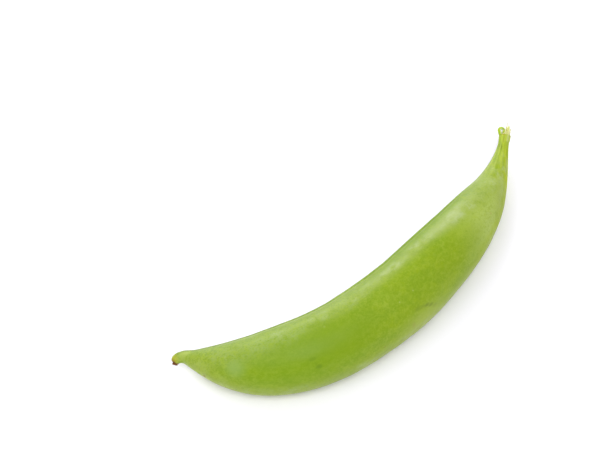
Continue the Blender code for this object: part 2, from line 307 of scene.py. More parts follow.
def build_pod():
    u = ring_stations()
    deg = column_angles()
    n_u, n_c = len(u), len(deg)
    s = (u * ARC_LENGTH / MM)[:, None]  # millimetres along
    w, t = half_width(u)[:, None] / MM, half_thickness(u)[:, None] / MM
    full = fullness(u)[:, None]
    a = np.radians(deg)[None, :]
    mean_r = (w + t) / 2

    # Millimetres over the skin from each seam. Neither seam runs quite straight.
    wander = 0.09 * np.sin(s / 7.1 + 0.6) + 0.05 * np.sin(s / 3.3) + 0.02 * np.sin(s / 1.1 + 1.0)
    inner_at = 180.0 + 3.0 * smooth(u, 0.30, 0.68)[:, None] * (1.0 - smooth(u, 0.84, 0.92)[:, None])
    outer_at = 16.0 * hump(u, 0.84, 0.08)[:, None]
    inner = np.abs(np.radians(turned(deg[None, :], inner_at)) * mean_r + wander * full)
    outer = np.abs(np.radians(turned(deg[None, :], outer_at)) * mean_r + 0.8 * wander * full)

    # The inner seam is a fine cord with a groove along its middle, on a low swelling.
    # The outer one is only a slight line, which rises into a rib on the neck.
    body = smooth(full, 0.02, 0.40)
    stand = (0.35 + 0.65 * body) * (
        0.10 * hump(inner, 0.0, 1.6)
        + 0.150 * hump(inner, 0.0, 0.34)
        - 0.060 * hump(inner, 0.0, 0.09)
        - 0.050 * hump(inner, 0.85, 0.30)
    )
    late = smooth(u, 0.60, 0.84)[:, None]
    stand = stand + (0.35 + 0.65 * body) * (
        0.085 * hump(outer, 0.0, 1.2) + (0.035 + 0.055 * late) * hump(outer, 0.0, 0.30) - 0.020 * hump(outer, 0.8, 0.3)
    )

    # Peas press lightly on the flanks.
    flank = np.sin(a) ** 2
    for k, (at, size) in enumerate(PEAS):
        drift = 0.25 * math.sin(2.3 * k + 0.4)
        stand = stand + 0.085 * size * hump(s, at + drift, 3.1) * flank * full
    stand = stand - 0.04 * flank * full

    # The soft unevenness of a grown thing, then finer ripples.
    slow = waves(9, 13.0, 30.0, 3)
    quick = waves(14, 3.2, 8.0, 5)
    stand = stand + full * 0.060 * slow(s, 6.0 * np.cos(a) + 7.5 * np.sin(a))
    stand = stand + full * 0.010 * quick(s, 5.0 * np.cos(a) + 6.0 * np.sin(a))

    # Two shallow dents where it was pressed.
    for at, angle, long, wide, deep in DENTS:
        over = np.radians(turned(deg, angle))[None, :] * mean_r
        stand = stand - deep * np.exp(-(((s - at) / long) ** 2) - (over / wide) ** 2)

    # The neck is ribbed lengthwise, and the beak is drawn up in small folds.
    neck = smooth(u, 0.85, 0.95)[:, None]
    sway = 5.0 * np.sin(s / 6.0)
    ribs, marks = 0.0 * a, 0.0 * a
    for at, half, high in NECK_RIBS:
        off = turned(deg[None, :] + (sway if at else -outer_at), at) / half
        ribs = ribs + high * np.exp(-(off**2))
        marks = marks + (1.0 if high > 0.05 else 0.8) * np.exp(-(np.abs(1.05 * off) ** 3))
    stand = stand + neck * (ribs - 0.03)
    stand = stand + smooth(u, 0.985, 0.993)[:, None] * 0.11 * hump(turned(deg, 12.0), 0.0, 20.0)[None, :]
    beak = 1.0 - smooth(u, 0.010, 0.050)[:, None]
    folds = np.cos(6 * a + 0.5) * 0.6 + np.cos(9 * a + 2.2) * 0.4
    stand = stand + beak * (0.022 * folds + 0.012 * np.sin(s * 7.0 + 1.2 * np.sin(2 * a))) * np.minimum(w, 1.0)
    stand = stand * smooth(u, 0.0, 0.004)[:, None]

    # The beak ends in a blunt knob, a little fuller on its outer side.
    knob = hump(u, 0.008, 0.013)[:, None]
    stand = stand + knob * smooth(u, 0.0, 0.004)[:, None] * (0.05 + 0.14 * np.maximum(np.cos(a), 0.0) ** 2)

    points = skin(u, deg, stand * MM)
    reach = 0.24 * (1.0 - smooth(u, 0.0, 0.022))
    points -= (frames(u)[1] * (reach * MM)[:, None])[:, None, :]
    points[:, :, 2] = np.maximum(points[:, :, 2], FLOOR)

    # The torn end of the neck: an uneven rim, a wall down into it and a shallow floor.
    centre, along, out, top = (v[0] for v in frames(np.array([1.0])))
    ragged = 0.09 * np.sin(3 * a[0] + 0.4) + 0.06 * np.sin(7 * a[0] + 1.9) + 0.05 * np.sin(13 * a[0] + 0.7)
    last = points[-1]
    radial = last - centre
    rings = [last + radial * 0.02 + along * ((ragged + 0.07) * MM)[:, None]]
    for scale, depth, rough in (
        (0.93, 0.13, 1.0), (0.82, 0.04, 0.8), (0.74, -0.16, 0.4), (0.62, -0.30, 0.1), (0.42, -0.25, 0.0), (0.20, -0.19, 0.0),
    ):
        rise = depth + rough * ragged + (0.03 * np.sin(5 * a[0] + 9.0 * scale) if scale < 0.7 else 0.0)
        rings.append(centre + radial * scale + along * (rise * MM)[:, None])
    grid = np.concatenate([points, np.array(rings)], 0)
    n_all = len(grid)
    tip = frames(np.array([0.0]))[0][0] - frames(np.array([0.0]))[1][0] * 0.24 * MM
    hub = centre - along * 0.17 * MM
    verts = np.concatenate([grid.reshape(-1, 3), tip[None], hub[None]], 0) + SHIFT
    tip_i, hub_i = n_all * n_c, n_all * n_c + 1

    # The bake's own map: along the pod from left to right, round it from bottom to top.
    share_u = np.concatenate([0.012 + 0.935 * u, 0.952 + 0.007 * np.arange(len(rings))])
    share_v = 0.01 + 0.98 * (np.append(deg, 270.0) + 90.0) / 360.0
    i, j = np.meshgrid(np.arange(n_all - 1), np.arange(n_c), indexing="ij")
    i, j = i.ravel(), j.ravel()
    k = (j + 1) % n_c
    quads = np.stack([i * n_c + j, i * n_c + k, (i + 1) * n_c + k, (i + 1) * n_c + j], 1)
    quad_uv = np.stack(
        [
            np.stack([share_u[i], share_v[j]], 1),
            np.stack([share_u[i], share_v[j + 1]], 1),
            np.stack([share_u[i + 1], share_v[j + 1]], 1),
            np.stack([share_u[i + 1], share_v[j]], 1),
        ],
        1,
    )
    faces = [tuple(int(x) for x in q) for q in quads]
    uvs = [quad_uv.reshape(-1, 2)]
    for c in range(n_c):
        d = (c + 1) % n_c
        middle = (share_v[c] + share_v[c + 1]) / 2
        faces.append((c, tip_i, d))
        uvs.append([(share_u[0], share_v[c]), (0.004, middle), (share_u[0], share_v[c + 1])])
        base = (n_all - 1) * n_c
        faces.append((base + c, base + d, hub_i))
        uvs.append([(share_u[-1], share_v[c]), (share_u[-1], share_v[c + 1]), (0.998, middle)])
    obj = make_mesh("pod_skin", verts, faces, np.concatenate([np.asarray(x, float) for x in uvs], 0))
    face_out(obj.data)

    # Facts about each point that the skin's colours are made from.
    mesh = obj.data
    extra = len(rings)

    def spread(values):
        values = np.broadcast_to(values, (n_u, n_c))
        both = np.concatenate([values, np.repeat(values[-1:], extra, 0)], 0).ravel()
        return np.concatenate([both, [both[:n_c].mean(), both[-n_c:].mean()]])

    set_point_attribute(mesh, "run", "FLOAT", spread(s))
    set_point_attribute(mesh, "inner", "FLOAT", spread(inner))
    set_point_attribute(mesh, "outer", "FLOAT", spread(outer))
    set_point_attribute(mesh, "rib", "FLOAT", spread(smooth(u, 0.82, 0.95)[:, None] * (2.0 * np.minimum(marks, 1.0) - 1.0)))
    set_point_attribute(mesh, "way", "FLOAT", spread(np.abs(turned(deg, 0.0))[None, :] / 180.0))
    core = np.concatenate([np.zeros(n_u * n_c), np.repeat(np.linspace(0.0, 1.0, extra), n_c), [0.0, 1.0]])
    set_point_attribute(mesh, "core", "FLOAT", core)
    straight = np.stack([np.broadcast_to(s, (n_u, n_c)), -mean_r * np.cos(a), mean_r * np.sin(a)], -1)
    tail = np.repeat(straight[-1][None], extra, 0)
    tail[..., 1:] *= np.array([1.0, 0.93, 0.82, 0.74, 0.62, 0.42, 0.2])[:, None, None]
    both = np.concatenate([straight, tail], 0).reshape(-1, 3)
    both = np.concatenate([both, [[0, 0, 0]], [[float(s[-1, 0]), 0, 0]]], 0)
    set_point_attribute(mesh, "sheet", "FLOAT_VECTOR", both)
    return obj


# ------------------------------------------------------------------ node helpers
class Nodes:
    """A few short ways to write a material's node tree."""

    def __init__(self, name):
        self.mat = bpy.data.materials.new(name)
        self.mat.use_nodes = True
        self.tree = self.mat.node_tree
        self.bsdf = self.tree.nodes["Principled BSDF"]
        self.out = self.tree.nodes["Material Output"]

    def put(self, value, socket):
        if hasattr(value, "is_output") or isinstance(value, bpy.types.NodeSocket):
            self.tree.links.new(value, socket)
        elif isinstance(value, (tuple, list)) and len(value) == 4 and socket.type == "VECTOR":
            socket.default_value = value[:3]
        else:
            socket.default_value = value

    def add(self, kind, **settings):
        node = self.tree.nodes.new(kind)
        for k, v in settings.items():
            setattr(node, k, v)
        return node

    def fact(self, name, vector=False):
        node = self.add("ShaderNodeAttribute", attribute_name=name)
        return node.outputs["Vector" if vector else "Fac"]

    def math(self, op, a, b=0.0, c=None, clamp=False):
        node = self.add("ShaderNodeMath", operation=op, use_clamp=clamp)
        self.put(a, node.inputs[0])
        self.put(b, node.inputs[1])
        if c is not None:
            self.put(c, node.inputs[2])
        return node.outputs[0]

    def ramp(self, value, a, b, lo=0.0, hi=1.0, kind="SMOOTHSTEP"):
        node = self.add("ShaderNodeMapRange", interpolation_type=kind)
        self.put(value, node.inputs["Value"])
        for key, x in (("From Min", a), ("From Max", b), ("To Min", lo), ("To Max", hi)):
            node.inputs[key].default_value = x
        return node.outputs["Result"]

    def mix(self, factor, a, b, blend="MIX"):
        node = self.add("ShaderNodeMix", data_type="RGBA", blend_type=blend)
        self.put(factor, node.inputs[0])
        self.put(a, node.inputs[6])
        self.put(b, node.inputs[7])
        return node.outputs[2]

    def scaled(self, vector, x, y, z, move=(0, 0, 0)):
        node = self.add("ShaderNodeMapping")
        self.put(vector, node.inputs["Vector"])
        node.inputs["Scale"].default_value = (x, y, z)
        node.inputs["Location"].default_value = move
        return node.outputs[0]

    def noise(self, vector, scale, detail=3.0, roughness=0.5, distortion=0.0):
        node = self.add("ShaderNodeTexNoise")
        self.put(vector, node.inputs["Vector"])
        node.inputs["Scale"].default_value = scale
        node.inputs["Detail"].default_value = detail
        node.inputs["Roughness"].default_value = roughness
        node.inputs["Distortion"].default_value = distortion
        return node.outputs["Fac"]

    def cells(self, vector, scale, feature="F1", output="Distance", randomness=1.0):
        node = self.add("ShaderNodeTexVoronoi", feature=feature)
        self.put(vector, node.inputs["Vector"])
        node.inputs["Scale"].default_value = scale
        node.inputs["Randomness"].default_value = randomness
        return node.outputs[output]

    def spot(self, vector, at, size, soft, stretch=(1.0, 1.0, 1.0)):
        """1 inside a small patch round a point of the skin, 0 outside."""
        moved = self.add("ShaderNodeVectorMath", operation="SUBTRACT")
        self.put(vector, moved.inputs[0])
        moved.inputs[1].default_value = at
        shaped = self.add("ShaderNodeVectorMath", operation="MULTIPLY")
        self.tree.links.new(moved.outputs[0], shaped.inputs[0])
        shaped.inputs[1].default_value = stretch
        far = self.add("ShaderNodeVectorMath", operation="LENGTH")
        self.tree.links.new(shaped.outputs[0], far.inputs[0])
        return self.ramp(far.outputs["Value"], size, size + soft, 1.0, 0.0)

    def bump(self, height, strength, distance, under=None):
        node = self.add("ShaderNodeBump")
        node.inputs["Strength"].default_value = strength
        node.inputs["Distance"].default_value = distance
        self.put(height, node.inputs["Height"])
        if under is not None:
            self.tree.links.new(under, node.inputs["Normal"])
        return node.outputs["Normal"]


def on_skin(run, degrees):
    """The straightened position of a point of the pod, for placing a mark on it."""
    u = np.array([run * MM / ARC_LENGTH])
    r = float((half_width(u) + half_thickness(u))[0] / 2 / MM)
    return (run, -r * math.cos(math.radians(degrees)), r * math.sin(math.radians(degrees)))


# ------------------------------------------------------------------ the skin's material
GREEN_MID = srgb(131, 157, 16)
GREEN_YELLOW = srgb(141, 164, 14)
GREEN_DEEP = srgb(117, 149, 22)
BLOOM_AND_HIGHLIGHT = srgb(142, 162, 68)
WAX_AND_HIGHLIGHT = srgb(179, 192, 136)
COOL_REFLECTION_GREEN = srgb(128, 154, 58)
GREEN_PALE = srgb(154, 174, 56)
GREEN_NECK = srgb(166, 185, 86)
GREEN_BEAK = srgb(128, 153, 46)
YELLOW_NECK = srgb(153, 175, 5)
NECK_SHADE_GREEN = srgb(130, 154, 0)
OUTER_NECK = srgb(182, 200, 14)
TIP_NECK = srgb(184, 200, 70)
PALE_RIM = srgb(234, 234, 164)
YELLOW_TIP = srgb(176, 174, 58)
PALE_TIP = srgb(164, 182, 92)
SEAM_EDGE_SHADE = srgb(106, 134, 16)
OLIVE_RIM = srgb(149, 167, 46)
SEAM_LINE = srgb(140, 164, 52)
SEAM_CORD_SHADE = srgb(92, 122, 6)
RIB_LINE = srgb(188, 200, 84)
RIB_GROOVE_SHADE = srgb(132, 150, 20)
TORN_CREAM = srgb(206, 206, 140)
TORN_BROWN = srgb(150, 112, 58)

MARKS = [  # (run, angle), radius, soft edge, stretch, colour, strength
    ((25.0, 67), 0.14, 0.40, (0.7, 0.9, 1.4), srgb(78, 112, 26), 0.75),
    ((24.7, 73), 0.05, 0.34, (1.0, 1.0, 1.0), srgb(88, 120, 14), 0.40),
    ((24.4, 82), 0.14, 0.42, (0.6, 1.3, 1.3), srgb(78, 112, 16), 0.70),
    ((7.0, 29), 0.15, 0.18, (1.0, 1.0, 1.0), srgb(112, 66, 22), 0.95),
    ((12.6, 84), 0.3, 2.2, (1.0, 1.1, 1.1), srgb(148, 174, 100), 0.60),
    ((1.9, 128), 0.25, 0.80, (0.7, 1.3, 1.3), srgb(178, 191, 104), 0.42),
    ((10.8, 112), 0.05, 0.22, (1.0, 1.0, 1.0), srgb(180, 198, 130), 0.25),
    ((45.5, 95), 0.03, 0.20, (1.0, 1.0, 1.0), srgb(186, 200, 120), 0.38),
    ((42.1, 94), 0.03, 0.16, (1.0, 1.0, 1.0), srgb(190, 202, 130), 0.40),
    ((28.2, 123), 0.06, 0.26, (1.0, 1.0, 1.0), srgb(186, 202, 130), 0.45),
    ((42.9, 45), 0.20, 0.70, (1.6, 1.0, 1.0), srgb(132, 132, 40), 0.50),
    ((44.5, 67), 0.10, 0.80, (0.8, 1.3, 1.3), srgb(114, 140, 20), 0.60),
    ((45.6, 64), 0.10, 0.70, (0.8, 1.5, 1.5), srgb(112, 136, 20), 0.55),
    ((46.6, 61), 0.12, 0.60, (0.8, 1.5, 1.5), srgb(96, 118, 14), 0.70),
    ((47.4, 56), 0.12, 0.60, (0.8, 1.5, 1.5), srgb(94, 116, 14), 0.70),
    ((48.2, 49), 0.10, 0.60, (0.8, 1.3, 1.3), srgb(112, 132, 22), 0.55),
    ((45.5, 40), 0.30, 3.20, (0.40, 1.0, 1.0), srgb(174, 186, 86), 0.36),
    ((26.5, 104), 0.5, 4.5, (0.50, 1.0, 1.0), srgb(122, 152, 4), 0.45),
    ((70.3, 80), 0.08, 0.24, (1.0, 1.0, 1.0), srgb(166, 152, 76), 0.50),
    ((62.5, 143), 0.2, 2.4, (0.30, 1.0, 1.0), srgb(176, 190, 132), 0.30),
    ((21.5, 84), 1.0, 8.0, (0.45, 1.0, 1.0), srgb(112, 146, 6), 0.55),
    ((31.0, 92), 0.5, 6.0, (0.60, 1.0, 1.0), srgb(120, 150, 8), 0.45),
    ((0.1, 355), 0.15, 0.55, (1.0, 1.0, 1.0), srgb(134, 88, 22), 0.80),
    ((90.0, 128), 0.03, 0.12, (0.10, 1.0, 1.0), srgb(112, 112, 34), 0.60),
    ((89.3, 101), 0.03, 0.12, (0.08, 1.0, 1.0), srgb(112, 112, 34), 0.55),
    ((91.6, 92), 0.03, 0.12, (0.10, 1.0, 1.0), srgb(128, 118, 40), 0.55),
    ((92.5, 104), 0.05, 0.20, (1.0, 1.0, 1.0), srgb(176, 128, 44), 0.60),
    ((36.5, 42), 0.05, 0.20, (1.0, 1.0, 1.0), srgb(140, 120, 50), 0.50),
    ((38.0, 20), 0.05, 0.22, (1.0, 1.0, 1.0), srgb(140, 120, 50), 0.45),
]


def pod_material():
    m = Nodes("pod_skin_material")
    sheet = m.fact("sheet", vector=True)
    run, inner, outer, way = m.fact("run"), m.fact("inner"), m.fact("outer"), m.fact("way")

    patches = m.noise(m.scaled(sheet, 0.60, 1.0, 1.0), 0.15, 3.0, 0.55, 0.5)
    clouds = m.noise(m.scaled(sheet, 0.75, 1.0, 1.0, (31, 7, 5)), 0.40, 4.0, 0.6, 0.3)
    blots = m.noise(m.scaled(sheet, 0.85, 1.0, 1.0, (11, 3, 19)), 0.85, 3.0, 0.6, 0.2)
    grain = m.noise(m.scaled(sheet, 0.8, 1.0, 1.0, (3, 17, 2)), 2.1, 3.0, 0.65)
    fine = m.noise(sheet, 6.0, 2.0, 0.6)

    # The flanks: a full green with slightly yellower and deeper areas.
    colour = m.mix(m.ramp(patches, 0.42, 0.64, 0.0, 0.60), GREEN_MID, GREEN_DEEP)
    colour = m.mix(m.ramp(clouds, 0.45, 0.68, 0.0, 0.70), colour, GREEN_YELLOW)
    colour = m.mix(m.ramp(blots, 0.54, 0.70, 0.0, 0.38), colour, GREEN_DEEP)
    colour = m.mix(m.ramp(blots, 0.44, 0.30, 0.0, 0.32), colour, GREEN_PALE)

    # Paler towards the neck, greyer towards the beak, yellow at both ends.
    uneven = m.ramp(clouds, 0.3, 0.7, 0.65, 1.0)
    colour = m.mix(m.ramp(run, 57.0, 69.0, 0.0, 0.92), colour, GREEN_NECK)
    shoulder = m.math("MULTIPLY", m.ramp(run, 63.0, 69.0, 0.0, 0.42), m.ramp(run, 82.0, 77.0))
    colour = m.mix(shoulder, colour, srgb(182, 199, 106))
    colour = m.mix(m.ramp(run, 77.0, 83.0, 0.0, 0.92), colour, YELLOW_NECK)
    # Painted shade: the upper side of the neck is darkened, as if shaded by a neighbouring pod.
    colour = m.mix(m.math("MULTIPLY", m.ramp(run, 76.0, 82.0, 0.0, 0.90), m.ramp(way, 0.46, 0.62)), colour, NECK_SHADE_GREEN)
    colour = m.mix(m.math("MULTIPLY", m.ramp(run, 61.0, 77.0, 0.0, 0.84), m.ramp(way, 0.41, 0.22)), colour, OUTER_NECK)
    colour = m.mix(m.ramp(run, 89.6, 91.8, 0.0, 0.85), colour, TIP_NECK)
    colour = m.mix(m.math("MULTIPLY", m.ramp(run, 90.8, 91.8, 0.0, 1.00), m.ramp(way, 0.42, 0.26)), colour, PALE_RIM)
    colour = m.mix(m.ramp(run, 16.0, 7.0, 0.0, 0.75), colour, GREEN_BEAK)
    colour = m.mix(m.math("MULTIPLY", m.ramp(run, 4.2, 2.4, 0.0, 0.75), m.ramp(way, 0.20, 0.36)), colour, PALE_TIP)
    low_tip = m.math("MULTIPLY", m.ramp(run, 1.6, 3.2, 0.0, 0.85), m.ramp(run, 8.0, 5.6))
    colour = m.mix(m.math("MULTIPLY", low_tip, m.ramp(way, 0.30, 0.16)), colour, srgb(176, 191, 116))

    # A waxy bloom beside the inner seam, its pale band partly a painted highlight; a painted cool reflection next to
    # the seam; olive beside the outer one.
    on_body = m.math("MULTIPLY", m.ramp(run, 84.0, 72.0, 0.15, 1.0), m.ramp(run, 1.5, 7.0, 0.15, 1.0))
    closer = m.math("MULTIPLY", m.ramp(run, 32.0, 42.0, 0.0, 1.1), m.ramp(run, 66.0, 56.0))
    wider = m.math("MULTIPLY", m.ramp(run, 10.0, 15.0, 0.0, 1.0), m.ramp(run, 30.0, 24.0))
    reach = m.math("SUBTRACT", m.math("ADD", inner, closer), wider)
    bloom_and_highlight = m.math("MULTIPLY", m.math("MULTIPLY", m.ramp(reach, 7.4, 4.9, 0.0, 0.95), uneven), on_body)
    colour = m.mix(bloom_and_highlight, colour, BLOOM_AND_HIGHLIGHT)
    # The whitish wax band is partly a painted highlight, laid where the light's sheen falls beside the inner seam.
    wax_sheen_at = m.scaled(sheet, 0.80, 1.0, 1.0, (41, 3, 7))
    wax_sheen_patches = m.math("MULTIPLY", m.ramp(m.noise(wax_sheen_at, 0.55, 4.0, 0.55, 0.2), 0.36, 0.66), m.ramp(m.noise(wax_sheen_at, 0.22, 1.0), 0.40, 0.60, 0.35, 1.0))
    band = m.math("MULTIPLY", m.ramp(reach, 6.4, 4.8), m.ramp(inner, 1.7, 2.9))
    wax_highlight_mask = m.math("MULTIPLY", m.math("MULTIPLY", wax_sheen_patches, band), m.ramp(run, 9.0, 20.0, 0.22, 0.68))
    colour = m.mix(wax_highlight_mask, colour, WAX_AND_HIGHLIGHT)
    # Painted highlight: the pale band widened further on the belly.
    faint_highlight = m.math("MULTIPLY", m.math("MULTIPLY", m.ramp(inner, 6.6, 5.4, 0.0, 0.40), m.ramp(inner, 2.4, 3.4)), m.math("MULTIPLY", m.ramp(run, 12.0, 16.0), m.ramp(run, 28.0, 22.0)))
    colour = m.mix(faint_highlight, colour, srgb(170, 187, 124))
    # Painted reflection: a cooler green strip next to the inner seam, where the skin would mirror neighbouring pods.
    cool_reflection_strip = m.math("MULTIPLY", m.ramp(inner, 3.8, 2.2, 0.0, 0.80), on_body)
    colour = m.mix(cool_reflection_strip, colour, COOL_REFLECTION_GREEN)
    between = m.math("MULTIPLY", m.ramp(run, 84.0, 75.0), m.ramp(run, 2.6, 6.5))
    rim = m.math("MULTIPLY", m.math("MULTIPLY", m.ramp(outer, 6.0, 2.5, 0.0, 0.85), uneven), between)
    colour = m.mix(rim, colour, OLIVE_RIM)
    low_band = m.math("MULTIPLY", m.math("MULTIPLY", m.ramp(outer, 4.6, 3.0), wax_sheen_patches), between)
    colour = m.mix(m.math("MULTIPLY", low_band, 0.50), colour, WAX_AND_HIGHLIGHT)
    # Paler along the lower edge towards the beak: waxy bloom, and partly a painted reflection of the pale floor.
    low_edge = m.math("MULTIPLY", m.ramp(outer, 2.4, 0.8, 0.0, 0.55), m.math("MULTIPLY", m.ramp(run, 3.0, 6.0), m.ramp(run, 26.0, 19.0)))
    colour = m.mix(low_edge, colour, srgb(176, 190, 84))
    early = m.ramp(run, 48.0, 38.0)
    colour = m.mix(m.math("MULTIPLY", m.ramp(inner, 1.7, 1.0, 0.0, 0.60), early), colour, SEAM_LINE)
    # Dark line on the seam's cord: partly the cord's own colour, partly painted shade.
    colour = m.mix(m.math("MULTIPLY", m.ramp(inner, 0.85, 0.45, 0.0, 0.92), m.ramp(run, 40.0, 32.0, 0.15, 1.0)), colour, SEAM_CORD_SHADE)
    # Painted shade: a darker strip along the inner seam on the shoulder.
    shoulder_seam_shade = m.math("MULTIPLY", m.ramp(inner, 2.8, 1.5, 0.0, 0.40), m.math("MULTIPLY", m.ramp(run, 46.0, 54.0), m.ramp(run, 78.0, 70.0)))
    colour = m.mix(shoulder_seam_shade, colour, srgb(112, 148, 38))
    # Painted shade: darker along the inner seam on the neck.
    neck_seam_shade = m.math("MULTIPLY", m.ramp(inner, 1.05, 0.65, 0.0, 0.65), m.math("MULTIPLY", m.ramp(run, 79.0, 84.0), m.ramp(run, 92.2, 91.4)))
    colour = m.mix(neck_seam_shade, colour, srgb(108, 134, 6))
    # Darker green along the inner seam's edge: partly the seam's own colour, partly painted shade.
    edge = m.math("MULTIPLY", m.ramp(inner, 1.3, 0.6, 0.0, 0.75), m.math("MULTIPLY", m.ramp(run, 34.0, 42.0), m.ramp(run, 76.0, 68.0)))
    edge = m.math("MAXIMUM", edge, m.math("MULTIPLY", m.ramp(inner, 1.7, 0.9, 0.0, 0.82), m.math("MULTIPLY", m.ramp(run, 2.5, 4.0), m.ramp(run, 13.0, 8.0))))
    colour = m.mix(edge, colour, SEAM_EDGE_SHADE)
    late = m.ramp(run, 56.0, 80.0)
    colour = m.mix(m.math("MULTIPLY", m.ramp(outer, 0.60, 0.25, 0.0, 0.7), late), colour, RIB_LINE)

    # The yellow tip, and the ribs of the neck.
    colour = m.mix(m.ramp(run, 1.3, 0.1, 0.0, 0.9), colour, YELLOW_TIP)
    rib = m.fact("rib")
    broken = m.ramp(m.noise(m.scaled(sheet, 0.45, 1.6, 1.6, (7, 1, 3)), 1.1, 2.0, 0.6), 0.35, 0.62, 0.25, 1.0)
    colour = m.mix(m.math("MULTIPLY", m.ramp(rib, 0.0, 0.8, 0.0, 0.55), broken), colour, RIB_LINE)
    # Painted shade: darker in the grooves between the neck's ribs.
    colour = m.mix(m.math("MULTIPLY", m.ramp(rib, -0.25, -0.75, 0.0, 0.48), broken), colour, RIB_GROOVE_SHADE)
    colour = m.mix(m.math("MULTIPLY", m.ramp(run, 92.0, 92.6, 0.0, 0.25), m.ramp(grain, 0.45, 0.62)), colour, TORN_BROWN)

    # Small pale flecks, and single marks where the skin was rubbed or bruised.
    fleck_at = m.scaled(sheet, 0.8, 1.0, 1.0, (5, 9, 1))
    flecks = m.ramp(m.cells(fleck_at, 0.85), 0.11, 0.05, 0.0, 1.0)
    some = m.ramp(m.noise(fleck_at, 0.35, 1.0), 0.50, 0.60)
    colour = m.mix(m.math("MULTIPLY", m.math("MULTIPLY", flecks, some), 0.40), colour, srgb(178, 194, 106))
    speck = m.noise(m.scaled(sheet, 0.9, 1.0, 1.0, (9, 4, 13)), 3.8, 2.0, 0.6)
    dapple = m.noise(m.scaled(sheet, 0.9, 1.0, 1.0, (23, 5, 8)), 1.15, 2.0, 0.5, 0.3)
    pale = m.mix(m.ramp(run, 74.0, 84.0), GREEN_PALE, srgb(172, 190, 30))
    lively = m.math("MAXIMUM", m.ramp(run, 30.0, 46.0, 1.30, 0.68), m.ramp(run, 60.0, 70.0, 0.30, 0.90))
    below_neck = m.math("MULTIPLY", m.ramp(run, 82.0, 74.0), lively)
    colour = m.mix(m.math("MULTIPLY", m.ramp(dapple, 0.47, 0.35, 0.0, 0.38), below_neck), colour, srgb(124, 150, 10))
    colour = m.mix(m.math("MULTIPLY", m.ramp(dapple, 0.52, 0.66, 0.0, 0.38), below_neck), colour, pale)
    streaks = m.noise(m.scaled(sheet, 0.10, 1.0, 1.0, (4, 14, 6)), 1.5, 2.0, 0.6)
    on_neck = m.ramp(run, 76.0, 85.0)
    colour = m.mix(m.math("MULTIPLY", m.ramp(streaks, 0.50, 0.64, 0.0, 0.36), on_neck), colour, srgb(186, 202, 54))
    colour = m.mix(m.math("MULTIPLY", m.ramp(streaks, 0.48, 0.36, 0.0, 0.45), on_neck), colour, srgb(130, 160, 14))
    grained = m.math("MULTIPLY", m.ramp(run, 86.0, 76.0, 0.35, 1.0), lively)
    colour = m.mix(m.math("MULTIPLY", m.ramp(grain, 0.45, 0.63, 0.0, 0.34), grained), colour, pale)
    colour = m.mix(m.math("MULTIPLY", m.ramp(speck, 0.48, 0.64, 0.0, 0.32), lively), colour, pale)
    colour = m.mix(m.math("MULTIPLY", m.ramp(speck, 0.50, 0.36, 0.0, 0.30), lively), colour, GREEN_DEEP)
    colour = m.mix(m.ramp(fine, 0.50, 0.30, 0.0, 0.16), colour, GREEN_DEEP)
    for at, size, soft, stretch, tone, strength in MARKS:
        patch = m.spot(sheet, on_skin(*at), size, soft, stretch)
        colour = m.mix(m.math("MULTIPLY", patch, strength), colour, tone)

    core = m.fact("core")
    colour = m.mix(m.ramp(core, 0.02, 0.35), colour, TORN_CREAM)
    colour = m.mix(m.math("MULTIPLY", m.ramp(core, 0.45, 0.9, 0.0, 0.7), m.ramp(grain, 0.35, 0.6)), colour, TORN_BROWN)
    m.put(colour, m.bsdf.inputs["Base Color"])

    rough = m.math("ADD", m.ramp(clouds, 0.3, 0.7, 0.38, 0.46), m.ramp(grain, 0.3, 0.7, -0.02, 0.03))
    m.put(rough, m.bsdf.inputs["Roughness"])
    dull = m.math("MULTIPLY", m.ramp(run, 54.0, 68.0), m.ramp(way, 0.42, 0.26))
    near_seam = m.math("MULTIPLY", m.ramp(inner, 3.4, 1.6, 0.0, 0.60), m.math("MULTIPLY", m.ramp(run, 34.0, 44.0), m.ramp(run, 82.0, 75.0)))
    dull = m.math("MAXIMUM", dull, near_seam)
    m.put(m.ramp(dull, 0.0, 1.0, 0.19, 0.03), m.bsdf.inputs["Specular IOR Level"])
    m.bsdf.inputs["Subsurface Weight"].default_value = 0.15
    m.bsdf.inputs["Subsurface Radius"].default_value = (0.9, 1.0, 0.25)
    m.bsdf.inputs["Subsurface Scale"].default_value = 0.0012

    net = m.cells(m.scaled(sheet, 0.55, 1.0, 1.0, (2, 3, 4)), 1.5, feature="DISTANCE_TO_EDGE")
    height = m.math("ADD", m.math("MULTIPLY", grain, 0.6), m.math("MULTIPLY", m.ramp(net, 0.0, 0.30), 0.14))
    height = m.math("ADD", height, m.math("MULTIPLY", fine, 0.18))
    m.put(m.bump(height, 0.45, 0.00007), m.bsdf.inputs["Normal"])
    return m.mat


def simple_material(name, dark, light, scale, roughness, stretch=(1, 1, 1), subsurface=0.1, tone=None):
    """A two-tone tissue with lengthwise streaks, in object space."""
    m = Nodes(name)
    coord = m.add("ShaderNodeTexCoord").outputs["Object"]
    shaped = m.scaled(coord, *[1000.0 * x for x in stretch])
    streaks = m.noise(shaped, scale, 4.0, 0.6, 0.4)
    fine = m.noise(shaped, scale * 4.0, 2.0, 0.6)
    colour = m.mix(m.ramp(streaks, 0.35, 0.65), dark, light)
    if tone is not None:
        colour = m.mix(m.ramp(m.fact("tone"), 0.0, 1.0), colour, tone)
    colour = m.mix(m.ramp(fine, 0.4, 0.8, 0.0, 0.25), colour, light)
    m.put(colour, m.bsdf.inputs["Base Color"])
    m.put(m.ramp(streaks, 0.3, 0.7, roughness - 0.06, roughness + 0.06), m.bsdf.inputs["Roughness"])
    m.bsdf.inputs["Specular IOR Level"].default_value = 0.35
    m.bsdf.inputs["Subsurface Weight"].default_value = subsurface
    m.bsdf.inputs["Subsurface Radius"].default_value = (0.9, 1.0, 0.3)
    m.bsdf.inputs["Subsurface Scale"].default_value = 0.0006
    m.put(m.bump(m.math("ADD", streaks, m.math("MULTIPLY", fine, 0.5)), 0.4, 0.00005), m.bsdf.inputs["Normal"])
    return m.mat


